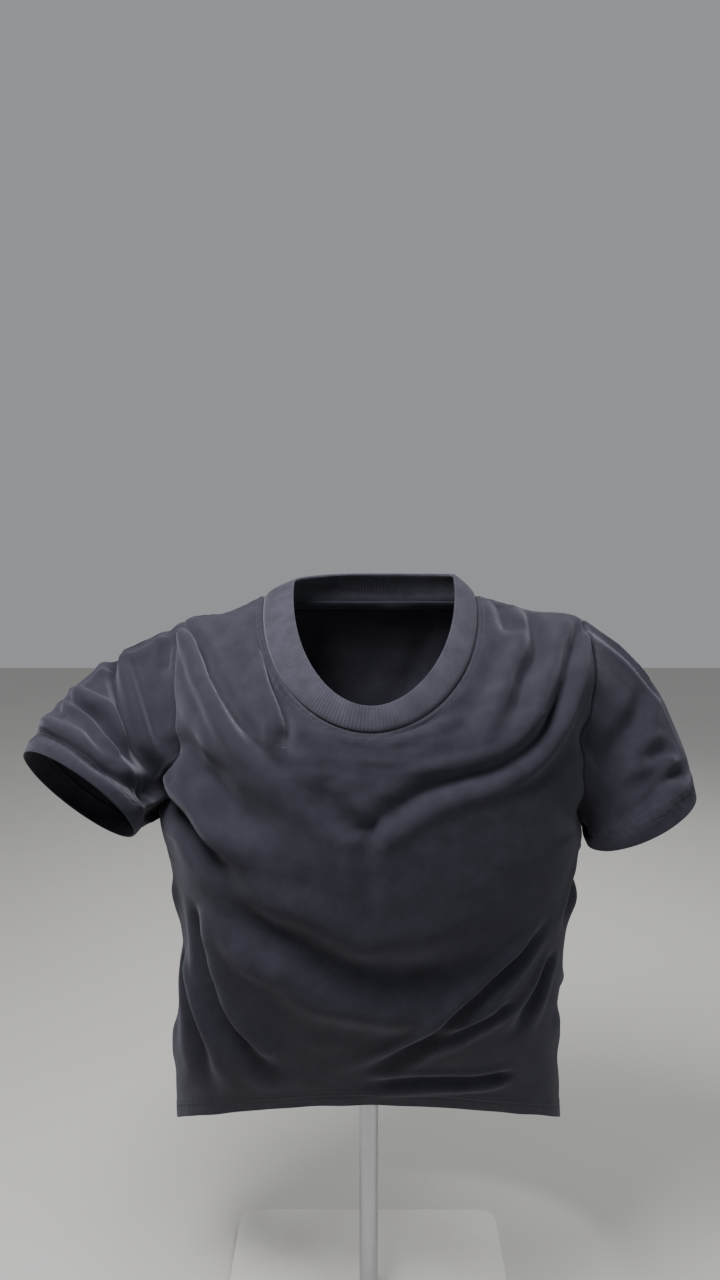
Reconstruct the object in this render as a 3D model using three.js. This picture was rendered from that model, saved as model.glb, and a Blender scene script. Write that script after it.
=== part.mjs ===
// A short-sleeved crew-neck T-shirt in its worn shape, bunched above the hem, on a plain display stand.
// Millimetres, +Z up. The front of the shirt faces -Y. The origin is on the floor, under the chest.

import * as THREE from 'three';

const cloth = 1.6; // thickness of the jersey
const rib = 2.6; // thickness of the doubled neck rib
const gap = 0.3; // clearance between two pieces that meet

// Levels of the body from the hem to the neck seam. "up" is the share of the way up. Then come heights at
// the front, both sides and the back, half breadths, and how far back the chest, the sides and the spine lie.
// Right and left are the shirt's own, so right is the -X side.
const names = ['up', 'front', 'right', 'left', 'back', 'halfRight', 'halfLeft', 'chest', 'middle', 'spine'];
const level = (numbers) => Object.fromEntries(names.map((name, i) => [name, numbers[i]]));
const levels = [
  [0.0, 282, 208, 208, 188, 197, 197, -52, 40, 150],
  [0.16, 376, 314, 314, 285, 192, 188, -92, 26, 142],
  [0.32, 460, 424, 424, 385, 180, 188, -120, 14, 134],
  [0.475, 538, 552, 546, 478, 192, 197, -130, 8, 128],
  [0.62, 592, 640, 630, 574, 186, 203, -127, 14, 128],
  [0.8, 629, 727, 728, 674, 174, 200, -121, 22, 118],
  [0.9, 644, 734, 737, 715, 138, 151, -115, 28, 100],
  [1.0, 651, 750, 750, 744, 100, 101, -108, 32, 80],
].map(level);
const squareness = 2.3; // of the body's section, where 2 is an ellipse
const tiltEase = 1.25; // how late a level turns from its side height to its front or back height

// Armholes, as shares of the way up and as the angle that each panel gives up to the sleeve
const armpit = 0.475;
const shoulderPoint = 0.8;
const frontDip = 28;
const backDip = 22;

// The neck rib's upper edge, and how far the rib bows out between its edges
const neck = level([1, 670.5, 763, 769, 768, 72, 80, -100, 34, 64]);
const neckBow = 1.6;

// Sleeves: the hem ring's centre, the way it faces, its radius, how strongly the cloth keeps its direction
// at both ends, and how far the sleeve's head stands up
const sleeves = {
  right: {
    side: -1,
    centre: [-249, -80, 589],
    facing: [-0.52, -0.62, -0.66],
    radius: 58,
    start: 200,
    end: 150,
    cap: 14,
  },
  left: {
    side: 1,
    centre: [251, -18, 547],
    facing: [0.48, -0.05, -0.88],
    radius: 54,
    start: 200,
    end: 125,
    cap: 12,
  },
};

const sleeveTop = { out: 0.55, up: 0.85 }; // the way a sleeve's upper edge lies from its middle

// A fold's banks: how high against its valley's depth, how many half widths out, and how broad
const bank = { height: 0.45, out: 1.8, breadth: 0.8 };

// Folds. Each runs through points of [angle round the body, per cent of the way up], 0 at the front and
// 90 at the shirt's left. depth is the valley's, width its half width, and lean raises one bank over the
// other.
const bodyFolds = [
  // front, from the shoulders and the neck
  { path: [[-84, 84], [-65, 85], [-52, 85], [-38, 83], [-28, 79]], depth: 6, width: 11, lean: 0.3 },
  { path: [[-78, 98], [-52, 96], [-32, 93], [-26, 86], [-24, 74]], depth: 4.5, width: 11, lean: -0.3 },
  { path: [[-60, 72], [-44, 65], [-34, 59], [-20, 52]], depth: 5, width: 16, lean: 0 },
  { path: [[84, 92], [60, 89], [44, 86], [30, 79], [24, 70]], depth: 4, width: 11, lean: 0 },
  { path: [[84, 82], [70, 83], [54, 80], [44, 75], [42, 70]], depth: 4, width: 11, lean: 0.3 },
  { path: [[71, 97], [42, 95], [26, 86], [16, 78]], depth: 2.5, width: 9, lean: 0 },
  { path: [[82, 97], [64, 92]], depth: 4, width: 9, lean: 0 },
  // front, across the chest
  { path: [[-12, 68], [-9, 62], [-5, 59], [-1, 56]], depth: 4, width: 11, lean: 0.3 },
  { path: [[-1, 56], [8, 62], [20, 67], [33, 70], [47, 78]], depth: 4.5, width: 12, lean: -0.3 },
  // front, over the belly and the waist
  { path: [[-68, 57], [-54, 51], [-40, 48], [-30, 44]], depth: 4.5, width: 14, lean: 0.2 },
  { path: [[-62, 44], [-40, 40], [-18, 33], [4, 28], [28, 33], [56, 42]], depth: 6, width: 22, lean: -0.3 },
  { path: [[-57, 34], [-45, 23], [-36, 14], [-28, 10], [-16, 9]], depth: 5, width: 12, lean: 0.3 },
  { path: [[-70, 30], [-60, 18], [-56, 4]], depth: 5, width: 11, lean: 0 },
  { path: [[48, 37], [33, 25], [22, 19], [10, 14], [-3, 8]], depth: 3.5, width: 9, lean: -0.3 },
  { path: [[56, 30], [42, 17]], depth: 3.5, width: 9, lean: 0 },
  // sides
  { path: [[74, 45], [92, 37], [116, 35]], depth: 5, width: 12, lean: 0 },
  { path: [[70, 24], [92, 19], [112, 20]], depth: 4, width: 12, lean: 0 },
  { path: [[-76, 42], [-94, 37], [-120, 38]], depth: 4, width: 12, lean: 0 },
  { path: [[-80, 22], [-98, 15], [-120, 17]], depth: 4, width: 12, lean: 0 },
  // back
  { path: [[112, 60], [138, 54], [164, 52]], depth: 6, width: 15, lean: 0.3 },
  { path: [[248, 58], [222, 51], [198, 48]], depth: 6, width: 15, lean: -0.3 },
  { path: [[118, 42], [150, 33], [180, 30], [210, 34], [240, 43]], depth: 6, width: 18, lean: 0 },
  { path: [[112, 24], [150, 16], [188, 13]], depth: 6, width: 16, lean: 0.3 },
  { path: [[246, 27], [215, 19], [186, 21]], depth: 5, width: 14, lean: 0 },
  { path: [[150, 88], [160, 74], [170, 62]], depth: 3, width: 14, lean: 0 },
  { path: [[211, 88], [201, 74], [191, 62]], depth: 3, width: 14, lean: 0 },
];
// On a sleeve a fold runs through [angle round the sleeve, per cent of its length]. -90 is the armpit,
// 0 the front, 90 the shoulder and 180 the back.
const sleeveFolds = {
  right: [
    { path: [[84, 34], [45, 40], [15, 41], [-6, 34], [-40, 16]], depth: 6, width: 8, lean: 0.4 },
    { path: [[76, 64], [27, 62], [4, 58], [-14, 44], [-44, 22]], depth: 5, width: 7.5, lean: 0.3 },
    { path: [[84, 86], [40, 87], [10, 84], [-14, 74], [-46, 42]], depth: 4, width: 7.5, lean: 0.3 },
    { path: [[226, 30], [190, 44], [150, 50]], depth: 5, width: 12, lean: 0 },
    { path: [[240, 62], [200, 72], [150, 70]], depth: 4, width: 11, lean: 0 },
  ],
  left: [
    { path: [[62, 30], [30, 36], [0, 36], [-40, 18]], depth: 5, width: 11, lean: 0.3 },
    { path: [[62, 64], [15, 68], [-24, 46]], depth: 4, width: 9, lean: 0.3 },
    { path: [[228, 26], [190, 40], [150, 44]], depth: 5, width: 12, lean: 0 },
    { path: [[236, 60], [196, 68], [156, 62]], depth: 4, width: 11, lean: 0 },
  ],
};

// How finely each surface is divided
const rowsBelow = 20; // from the hem to the armpit
const rowsBeside = 12; // along the armhole
const rowsAbove = 6; // from the shoulder point to the neck seam
const frontColumns = 34;
const backColumns = 26;
const sleeveRows = 11;
const neckColumns = 60;
const neckRows = 3;

// Stand
const baseSize = { breadth: 300, depth: 250, height: 8, corner: 18, edge: 1.2, behind: 24 };
const post = { radius: 9.5, at: [0, 22], top: 596 };
const socket = { radius: 24, rim: 4, waist: 15, waistHeight: 10, height: 18, bore: 9.8 };
const hub = { radius: 15, height: 26, bevel: 2, slope: 4, crown: 10 };
const arm = {
  radius: 6,
  seat: 2.4, // clearance under the cloth
  sides: 10,
  steps: 30,
  route: [
    { out: 50, back: 0, rise: 0 },
    { out: 88, back: 0, rise: 10 },
    { out: 103, back: 3, rise: 60 },
  ],
  seats: [0.94, 0.9, 0.86, 0.82], // where it lies under the shoulder seam, as shares of the way up
  bend: 5, // how much deeper it lies where it turns down into the sleeve
  tip: { out: 4, ahead: 2, drop: 20 },
};

const radians = THREE.MathUtils.degToRad;
const clamp = THREE.MathUtils.clamp;
const ease = (t) => t * t * (3 - 2 * t);

// One level's numbers at any share of the way up, on a smooth curve through the levels
function levelAt(up) {
  const last = levels.length - 2;
  let i = 0;
  while (i < last && up > levels[i + 1].up) i += 1;
  const slope = (k, name) => {
    const before = levels[Math.max(k - 1, 0)];
    const here = levels[k];
    const after = levels[Math.min(k + 1, last + 1)];
    const below = here.up - before.up;
    const above = after.up - here.up;
    const slopeBelow = below === 0 ? 0 : (here[name] - before[name]) / below;
    const slopeAbove = above === 0 ? 0 : (after[name] - here[name]) / above;
    if (below === 0) return slopeAbove;
    if (above === 0) return slopeBelow;
    return (slopeBelow * above + slopeAbove * below) / (below + above);
  };
  const step = levels[i + 1].up - levels[i].up;
  const t = (up - levels[i].up) / step;
  const found = {};
  for (const name of Object.keys(levels[0])) {
    found[name] =
      levels[i][name] * (2 * t ** 3 - 3 * t ** 2 + 1) +
      slope(i, name) * step * (t ** 3 - 2 * t ** 2 + t) +
      levels[i + 1][name] * (3 * t ** 2 - 2 * t ** 3) +
      slope(i + 1, name) * step * (t ** 3 - t ** 2);
  }
  return found;
}

// A point on a level ring at an angle round the body, in degrees
function ringPoint(ring, angle) {
  const across = Math.sin(radians(angle));
  const ahead = Math.cos(radians(angle));
  const reach = (Math.abs(across) ** squareness + Math.abs(ahead) ** squareness) ** (-1 / squareness);
  const leftShare = ease((across + 1) / 2);
  const half = THREE.MathUtils.lerp(ring.halfRight, ring.halfLeft, leftShare);
  const sideHeight = THREE.MathUtils.lerp(ring.right, ring.left, leftShare);
  const depth = ahead > 0 ? ring.middle - ring.chest : ring.spine - ring.middle;
  const endHeight = ahead > 0 ? ring.front : ring.back;
  return new THREE.Vector3(
    half * across * reach,
    ring.middle - depth * ahead * reach,
    sideHeight + (endHeight - sideHeight) * Math.abs(ahead) ** tiltEase,
  );
}

const plainBody = (angle, up) => ringPoint(levelAt(up), angle);

// The outward normal of a surface point(a, b) by central differences; flip turns it round
function normalOf(point, a, b, stepA, stepB, flip) {
  const alongA = point(a + stepA, b).sub(point(a - stepA, b));
  const alongB = point(a, b + stepB).sub(point(a, b - stepB));
  return alongA.cross(alongB).normalize().multiplyScalar(flip);
}

const bodyNormal = (angle, up) => normalOf(plainBody, angle, clamp(up, 0.002, 0.998), 0.2, 0.002, 1);

// Turns each fold's path into a smooth line in space on the plain surface
function layFolds(folds, point) {
  return folds.map((fold) => {
    const corners = fold.path.map(([a, b]) => point(a, b / 100));
    const count = 6 * fold.path.length;
    const line = new THREE.CatmullRomCurve3(corners, false, 'centripetal').getPoints(count);
    return { ...fold, line };
  });
}

// How far the folds move a point of the surface along its normal
function foldShift(folds, place, normal) {
  let shift = 0;
  const onLine = new THREE.Vector3();
  const nearest = new THREE.Vector3();
  const piece = new THREE.Line3();
  for (const fold of folds) {
    const reach = 4 * fold.width;
    let best = Infinity;
    let share = 0;
    let direction = null;
    let pieceLength = 1;
    for (let i = 0; i < fold.line.length - 1; i += 1) {
      piece.set(fold.line[i], fold.line[i + 1]);
      const t = piece.closestPointToPointParameter(place, true);
      piece.at(t, onLine);
      const away = onLine.distanceTo(place);
      if (away < best) {
        best = away;
        share = (i + t) / (fold.line.length - 1);
        nearest.copy(onLine);
        direction = piece.delta(new THREE.Vector3());
        pieceLength = direction.length();
      }
    }
    if (best > reach) continue;
    const off = place.clone().sub(nearest);
    const side = direction.cross(off).dot(normal) / Math.max(1e-6, pieceLength * best);
    const fade = Math.sin(Math.PI * clamp(share * 0.9 + 0.05, 0, 1)) ** 0.7;
    const w = best / fold.width;
    const valley = -Math.exp(-w * w);
    const raised = bank.height * (1 + side * fold.lean) * Math.exp(-((w - bank.out) ** 2) / bank.breadth);
    shift += fold.depth * fade * (valley + raised);
  }
  return shift;
}

const laidBodyFolds = layFolds(bodyFolds, plainBody);

// The folds die away at the neck seam, at the hem and along the shoulder seams, which hold the cloth
function bodyShift(angle, up, place, normal) {
  const atNeck = ease(clamp((1 - up) / 0.05, 0, 1));
  const turn = Math.abs(Math.sin(radians(angle)));
  const offSeam = up > shoulderPoint ? 1 - 0.9 * turn ** 60 : 1;
  return foldShift(laidBodyFolds, place, normal) * atNeck * offSeam;
}

// A point of the shirt's body, on the outer face or, with inward above 0, inside it
function body(angle, up, inward = 0) {
  const place = plainBody(angle, up);
  const normal = bodyNormal(angle, up);
  const shift = bodyShift(angle, up, place, normal) - inward;
  return place.addScaledVector(normal, shift);
}

// The angle at which a panel ends beside the side seam, armhole or shoulder seam
function panelEdge(up, dip) {
  const share = clamp((up - armpit) / (shoulderPoint - armpit), 0, 1);
  return 90 - dip * Math.sqrt(Math.max(0, 1 - (2 * share - 1) ** 2));
}

// Rows from the hem to the neck seam, closer together at both ends of the armhole
function rowHeights() {
  const rows = [];
  for (let i = 0; i < rowsBelow; i += 1) rows.push((armpit * i) / rowsBelow);
  for (let i = 0; i < rowsBeside; i += 1) {
    rows.push(armpit + ((shoulderPoint - armpit) * (1 - Math.cos((Math.PI * i) / rowsBeside))) / 2);
  }
  for (let i = 0; i <= rowsAbove; i += 1) rows.push(shoulderPoint + ((1 - shoulderPoint) * i) / rowsAbove);
  return rows;
}

// A closed body between an outer and an inner grid of points, both split alike. Each grid is a list of rows.
// A round grid joins its last column to its first.
function shell(outer, inner, round) {
  const rows = outer.length;
  const columns = outer[0].length;
  const positions = [...outer.flat(), ...inner.flat()].flatMap((p) => [p.x, p.y, p.z]);
  const index = [];
  const at = (face, row, column) => face * rows * columns + row * columns + (column % columns);
  const quad = (a, b, c, d) => index.push(a, b, c, a, c, d);
  const spans = round ? columns : columns - 1;
  for (let row = 0; row < rows - 1; row += 1) {
    for (let column = 0; column < spans; column += 1) {
      quad(at(0, row, column), at(0, row, column + 1), at(0, row + 1, column + 1), at(0, row + 1, column));
      index.push(at(1, row, column), at(1, row + 1, column + 1), at(1, row, column + 1));
      index.push(at(1, row, column), at(1, row + 1, column), at(1, row + 1, column + 1));
    }
    if (!round) {
      quad(at(0, row, 0), at(0, row + 1, 0), at(1, row + 1, 0), at(1, row, 0));
      quad(at(0, row + 1, spans), at(0, row, spans), at(1, row, spans), at(1, row + 1, spans));
    }
  }
  const top = rows - 1;
  for (let column = 0; column < spans; column += 1) {
    const next = column + 1;
    quad(at(0, 0, next), at(0, 0, column), at(1, 0, column), at(1, 0, next));
    quad(at(0, top, column), at(0, top, next), at(1, top, next), at(1, top, column));
  }
  const geometry = new THREE.BufferGeometry();
  geometry.setAttribute('position', new THREE.Float32BufferAttribute(positions, 3));
  geometry.setIndex(index);
  geometry.computeVertexNormals();
  return geometry;
}

// A panel spans the angles on each side of its middle, less half a seam gap at its edges
function panel(middle, dip, columns) {
  const outer = [];
  const inner = [];
  for (const up of rowHeights()) {
    const edge = panelEdge(up, dip);
    const gapAngle = THREE.MathUtils.radToDeg(gap / 2 / body(90, up).x);
    const outerRow = [];
    const innerRow = [];
    for (let i = 0; i <= columns; i += 1) {
      const angle = middle + (2 * (i / columns) - 1) * (edge - gapAngle);
      outerRow.push(body(angle, up));
      innerRow.push(body(angle, up, cloth));
    }
    outer.push(outerRow);
    inner.push(innerRow);
  }
  return shell(outer, inner, false);
}

// The place on the armhole at an angle round the sleeve
function armholePlace(side, round) {
  const onFront = round <= 90;
  const share = onFront ? (round + 90) / 180 : (270 - round) / 180;
  const up = armpit + ((shoulderPoint - armpit) * (1 - Math.cos(Math.PI * share))) / 2;
  const dip = (onFront ? frontDip : -backDip) * Math.sin(Math.PI * share);
  return { angle: side * (90 - dip), up };
}

// The way the body's surface goes on across the armhole at that place, square to its edge
function armholeOut(side, round) {
  const before = armholePlace(side, round - 2);
  const after = armholePlace(side, round + 2);
  const here = armholePlace(side, round);
  const along = plainBody(after.angle, after.up).sub(plainBody(before.angle, before.up));
  const out = along.cross(bodyNormal(here.angle, here.up)).normalize();
  return out.multiplyScalar(side);
}

// The outer surface of a sleeve before its folds, from the armhole at 0 to the hem at 1
function plainSleeve(sleeve, round, along) {
  const facing = new THREE.Vector3(...sleeve.facing).normalize();
  const up = new THREE.Vector3(sleeve.side * sleeveTop.out, 0, sleeveTop.up);
  up.addScaledVector(facing, -up.dot(facing)).normalize();
  const ahead = new THREE.Vector3().crossVectors(facing, up);
  if (ahead.y > 0) ahead.negate();
  const rise = Math.sin(radians(round));
  const from = armholePlace(sleeve.side, round);
  const start = body(from.angle, from.up);
  const end = new THREE.Vector3(...sleeve.centre)
    .addScaledVector(ahead, sleeve.radius * Math.cos(radians(round)))
    .addScaledVector(up, sleeve.radius * rise);
  const low = (1 - rise) / 2;
  const leave = armholeOut(sleeve.side, round)
    .multiplyScalar((1 - low) ** 0.7)
    .addScaledVector(facing, low ** 0.8)
    .normalize()
    .multiplyScalar(sleeve.start * (1 - 0.6 * low));
  const arrive = facing.clone().multiplyScalar(sleeve.end * (1 - 0.6 * low));
  const t = along;
  return start
    .multiplyScalar(2 * t ** 3 - 3 * t ** 2 + 1)
    .addScaledVector(leave, t ** 3 - 2 * t ** 2 + t)
    .addScaledVector(end, 3 * t ** 2 - 2 * t ** 3)
    .addScaledVector(arrive, t ** 3 - t ** 2)
    .addScaledVector(up, sleeve.cap * Math.sin(Math.PI * t) * Math.max(0, rise) ** 1.5);
}

// A sleeve as a tube whose first ring is the armhole's edge, a seam gap further out
function sleeveTube(sleeve, folds) {
  const surface = (round, along) => plainSleeve(sleeve, round, along);
  const laid = layFolds(folds, surface);
  const outer = [];
  const inner = [];
  for (let row = 0; row <= sleeveRows; row += 1) {
    const along = row / sleeveRows;
    const outerRow = [];
    const innerRow = [];
    for (let column = 0; column < 2 * rowsBeside; column += 1) {
      const round = -90 + (180 * column) / rowsBeside;
      if (row === 0) {
        const from = armholePlace(sleeve.side, round);
        const step = armholeOut(sleeve.side, round).multiplyScalar(gap);
        outerRow.push(body(from.angle, from.up).add(step));
        innerRow.push(body(from.angle, from.up, cloth).add(step));
        continue;
      }
      const normal = normalOf(surface, round, clamp(along, 0.02, 0.98), 1, 0.02, -sleeve.side);
      const place = surface(round, along);
      const fade = ease(clamp(along / 0.1, 0, 1)) * ease(clamp((1 - along) / 0.12 + 0.35, 0, 1));
      const shift = foldShift(laid, place, normal) * fade;
      outerRow.push(place.clone().addScaledVector(normal, shift));
      innerRow.push(place.clone().addScaledVector(normal, shift - cloth));
    }
    if (sleeve.side > 0) {
      outerRow.reverse();
      innerRow.reverse();
    }
    outer.push(outerRow);
    inner.push(innerRow);
  }
  return shell(outer, inner, true);
}

// The neck rib, from the neck seam up to its own edge
function neckRib() {
  const outer = [];
  const inner = [];
  const base = (angle, inward) => body(angle, 1, inward);
  const band = (angle, along) => base(angle, 0).lerp(ringPoint(neck, angle), along);
  for (let row = 0; row <= neckRows; row += 1) {
    const along = row / neckRows;
    const outerRow = [];
    const innerRow = [];
    for (let column = 0; column < neckColumns; column += 1) {
      const angle = (360 * column) / neckColumns;
      const step = ringPoint(neck, angle).sub(base(angle, 0)).setLength(gap);
      if (row === 0) {
        outerRow.push(base(angle, 0).add(step));
        innerRow.push(base(angle, cloth).add(step));
        continue;
      }
      const normal = normalOf(band, angle, along, 1, 0.02, 1);
      const bow = neckBow * Math.sin(Math.PI * along);
      outerRow.push(band(angle, along).addScaledVector(normal, bow));
      innerRow.push(band(angle, along).addScaledVector(normal, bow - rib));
    }
    outer.push(outerRow);
    inner.push(innerRow);
  }
  return shell(outer, inner, true);
}

function roundedPlate({ breadth, depth, height, corner, edge, behind }) {
  const x = breadth / 2 - edge;
  const y = depth / 2 - edge;
  const outline = new THREE.Shape();
  outline.moveTo(x - corner, -y);
  outline.absarc(x - corner, -y + corner, corner, -Math.PI / 2, 0, false);
  outline.absarc(x - corner, y - corner, corner, 0, Math.PI / 2, false);
  outline.absarc(-x + corner, y - corner, corner, Math.PI / 2, Math.PI, false);
  outline.absarc(-x + corner, -y + corner, corner, Math.PI, Math.PI * 1.5, false);
  outline.closePath();
  const geometry = new THREE.ExtrudeGeometry(outline, {
    depth: height - 2 * edge,
    bevelEnabled: true,
    bevelThickness: edge,
    bevelSize: edge,
    bevelSegments: 2,
    curveSegments: 4,
  });
  return geometry.translate(0, behind, edge);
}

// A turned piece standing on the post's axis, from a closed profile of [radius, height]
function turned(profile, segments = 32) {
  const points = profile.map(([radius, height]) => new THREE.Vector2(radius, height));
  const geometry = new THREE.LatheGeometry(points, segments);
  return geometry.rotateX(Math.PI / 2).translate(post.at[0], post.at[1], 0);
}

// A bent rod from the hub out under the shoulder seam and over into the head of the sleeve
function standArm(sleeve) {
  const { side } = sleeve;
  const hubMiddle = post.top + gap + hub.height / 2;
  const sink = cloth + arm.radius + arm.seat;
  const leaveHub = new THREE.Vector3(side * (hub.radius + gap), post.at[1], hubMiddle);
  const route = arm.route.map(
    ({ out, back, rise }) => new THREE.Vector3(side * out, post.at[1] + back, hubMiddle + rise),
  );
  const seats = arm.seats.map((up) => body(90 * side, up, sink));
  const bend = plainSleeve(sleeve, 90, 0).add(new THREE.Vector3(0, 0, -sink - arm.bend));
  const tip = bend.clone().add(new THREE.Vector3(side * arm.tip.out, -arm.tip.ahead, -arm.tip.drop));
  const points = [leaveHub, ...route, ...seats, bend, tip];
  const section = new THREE.Shape();
  section.absarc(0, 0, arm.radius, 0, 2 * Math.PI, false);
  return new THREE.ExtrudeGeometry(section, {
    extrudePath: new THREE.CatmullRomCurve3(points, false, 'centripetal'),
    steps: arm.steps,
    curveSegments: arm.sides / 2,
    bevelEnabled: false,
  });
}

const jersey = new THREE.MeshStandardMaterial({ color: '#33333b', roughness: 0.92, metalness: 0 });
const ribKnit = new THREE.MeshStandardMaterial({ color: '#38383f', roughness: 0.95, metalness: 0 });
const coated = new THREE.MeshStandardMaterial({ color: '#d8d6d0', roughness: 0.45, metalness: 0 });
const steel = new THREE.MeshStandardMaterial({ color: '#b9bcc0', roughness: 0.3, metalness: 1 });

const shirt = new THREE.Group();

function add(name, geometry, material) {
  const mesh = new THREE.Mesh(geometry, material);
  mesh.name = name;
  shirt.add(mesh);
}

add('front_panel', panel(0, frontDip, frontColumns), jersey);
add('back_panel', panel(180, backDip, backColumns), jersey);
add('right_sleeve', sleeveTube(sleeves.right, sleeveFolds.right), jersey);
add('left_sleeve', sleeveTube(sleeves.left, sleeveFolds.left), jersey);
add('neck_rib', neckRib(), ribKnit);
add('stand_base', roundedPlate(baseSize), coated);
const socketFoot = baseSize.height + gap;
add(
  'stand_socket',
  turned([
    [socket.bore, socketFoot],
    [socket.radius, socketFoot],
    [socket.radius, socketFoot + socket.rim],
    [socket.waist, socketFoot + socket.waistHeight],
    [socket.waist, socketFoot + socket.height],
    [socket.bore, socketFoot + socket.height],
    [socket.bore, socketFoot],
  ]),
  coated,
);
add(
  'stand_post',
  turned([
    [0, socketFoot],
    [post.radius, socketFoot],
    [post.radius, post.top],
    [0, post.top],
  ]),
  steel,
);
const hubFoot = post.top + gap;
add(
  'stand_hub',
  turned([
    [0, hubFoot],
    [hub.radius - hub.bevel, hubFoot],
    [hub.radius, hubFoot + hub.bevel],
    [hub.radius, hubFoot + hub.height - hub.slope],
    [hub.crown, hubFoot + hub.height],
    [0, hubFoot + hub.height],
  ]),
  coated,
);
add('stand_right_arm', standArm(sleeves.right), steel);
add('stand_left_arm', standArm(sleeves.left), steel);

export default shirt;
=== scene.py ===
import math

import bmesh
import bpy
import numpy as np
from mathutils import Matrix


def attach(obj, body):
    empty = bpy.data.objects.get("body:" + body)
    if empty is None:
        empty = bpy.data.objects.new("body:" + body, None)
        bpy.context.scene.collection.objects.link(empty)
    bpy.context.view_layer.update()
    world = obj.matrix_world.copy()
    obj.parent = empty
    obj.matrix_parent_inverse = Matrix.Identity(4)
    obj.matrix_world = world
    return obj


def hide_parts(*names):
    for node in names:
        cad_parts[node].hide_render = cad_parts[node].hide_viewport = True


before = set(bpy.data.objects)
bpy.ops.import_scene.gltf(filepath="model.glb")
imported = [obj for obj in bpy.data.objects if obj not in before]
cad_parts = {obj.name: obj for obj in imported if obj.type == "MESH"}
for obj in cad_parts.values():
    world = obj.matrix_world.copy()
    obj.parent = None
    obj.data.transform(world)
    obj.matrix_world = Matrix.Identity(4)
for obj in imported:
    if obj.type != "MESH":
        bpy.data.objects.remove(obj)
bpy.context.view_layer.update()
mm = 0.001


# Camera: at the height of a phone on a tripod, a little under a metre from the chest
camera = {
    "place": (-0.009, -0.840, 0.830),
    "down": 8,  # degrees below level
    "focal": 920,  # in pixels of the image
    "imageHeight": 1280,
    "sensor": 36,
    "nearest": 0.02,
}


def makeCamera():
    turn = (math.radians(90 - camera["down"]), 0, 0)
    bpy.ops.object.camera_add(location=camera["place"], rotation=turn)
    lens = bpy.context.object.data
    lens.sensor_width = camera["sensor"]
    lens.lens = camera["sensor"] * camera["focal"] / camera["imageHeight"]
    lens.clip_start = camera["nearest"]
    bpy.context.scene.camera = bpy.context.object


makeCamera()
print("camera set")


# Small helpers

def hexColour(code):
    parts = [int(code[i:i + 2], 16) / 255 for i in (1, 3, 5)]
    linear = [c / 12.92 if c <= 0.04045 else ((c + 0.055) / 1.055) ** 2.4 for c in parts]
    return (*linear, 1)


def addNode(tree, kind, settings=None, values=None, links=None):
    node = tree.nodes.new(kind)
    for name, value in (settings or {}).items():
        setattr(node, name, value)
    for socket, value in (values or {}).items():
        node.inputs[socket].default_value = value
    for socket, source in (links or {}).items():
        tree.links.new(source, node.inputs[socket])
    return node


def newMaterial(name, surface=None):
    material = bpy.data.materials.new(name)
    material.use_nodes = True
    tree = material.node_tree
    tree.nodes.clear()
    shader = addNode(tree, "ShaderNodeBsdfPrincipled", {}, surface)
    addNode(tree, "ShaderNodeOutputMaterial", links={"Surface": shader.outputs[0]})
    place = addNode(tree, "ShaderNodeTexCoord").outputs["Object"]
    return material, tree, shader, place


def addNoise(tree, place, scale, detail, roughness=0.5):
    values = {"Scale": scale, "Detail": detail, "Roughness": roughness}
    return addNode(tree, "ShaderNodeTexNoise", {}, values, {"Vector": place}).outputs[0]


# A maths node, whose inputs are numbers or the outputs of other nodes
def addMath(tree, operation, *inputs):
    numbers = {i: given for i, given in enumerate(inputs) if isinstance(given, (int, float))}
    links = {i: given for i, given in enumerate(inputs) if i not in numbers}
    return addNode(tree, "ShaderNodeMath", {"operation": operation}, numbers, links).outputs[0]


# Relief in a surface, with its distance in millimetres
def addBump(tree, shader, height, strength, distance):
    values = {"Strength": strength, "Distance": distance * mm}
    bump = addNode(tree, "ShaderNodeBump", {}, values, {"Height": height})
    tree.links.new(bump.outputs[0], shader.inputs["Normal"])


# The base colour goes from one tone to another while the source goes from the first stop to the last
def addTones(tree, shader, source, first, last, stops=(0, 1)):
    ramp = addNode(tree, "ShaderNodeValToRGB", links={0: source})
    for element, stop, tone in zip(ramp.color_ramp.elements, stops, (first, last)):
        element.position = stop
        element.color = hexColour(tone)
    tree.links.new(ramp.outputs[0], shader.inputs["Base Color"])


def addGloss(tree, shader, source, least, most):
    gloss = addNode(tree, "ShaderNodeMapRange", {}, {3: least, 4: most}, {0: source})
    tree.links.new(gloss.outputs[0], shader.inputs["Roughness"])


def addPiece(name, data):
    piece = bpy.data.objects.new(name, data)
    bpy.context.scene.collection.objects.link(piece)
    return piece


def only(piece):
    bpy.ops.object.select_all(action="DESELECT")
    piece.select_set(True)
    bpy.context.view_layer.objects.active = piece


def finishPiece(piece, material, slot, *nodes):
    piece.data.materials.clear()
    piece.data.materials.append(material)
    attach(piece, "root")
    if nodes:
        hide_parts(*nodes)


# Goes smoothly from 0 to 1 as t does, and stays there
def ease(t):
    t = np.clip(t, 0, 1)
    return t * t * (3 - 2 * t)


def spread(*values):
    return np.broadcast_arrays(*(np.asarray(value, float) for value in values))


def unit(v):
    return v / np.maximum(np.linalg.norm(v, axis=-1, keepdims=True), 1e-9)


# A smooth hump, 1 high at its middle
def hump(at, middle, width):
    return np.exp(-(((at - middle) / width) ** 2))


# A smooth span that leaves its start and arrives at its end in given directions, as t goes from 0 to 1
def smoothSpan(start, leave, end, arrive, t):
    return (
        start * (2 * t**3 - 3 * t**2 + 1)
        + leave * (t**3 - 2 * t**2 + t)
        + end * (3 * t**2 - 2 * t**3)
        + arrive * (t**3 - t**2)
    )


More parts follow.
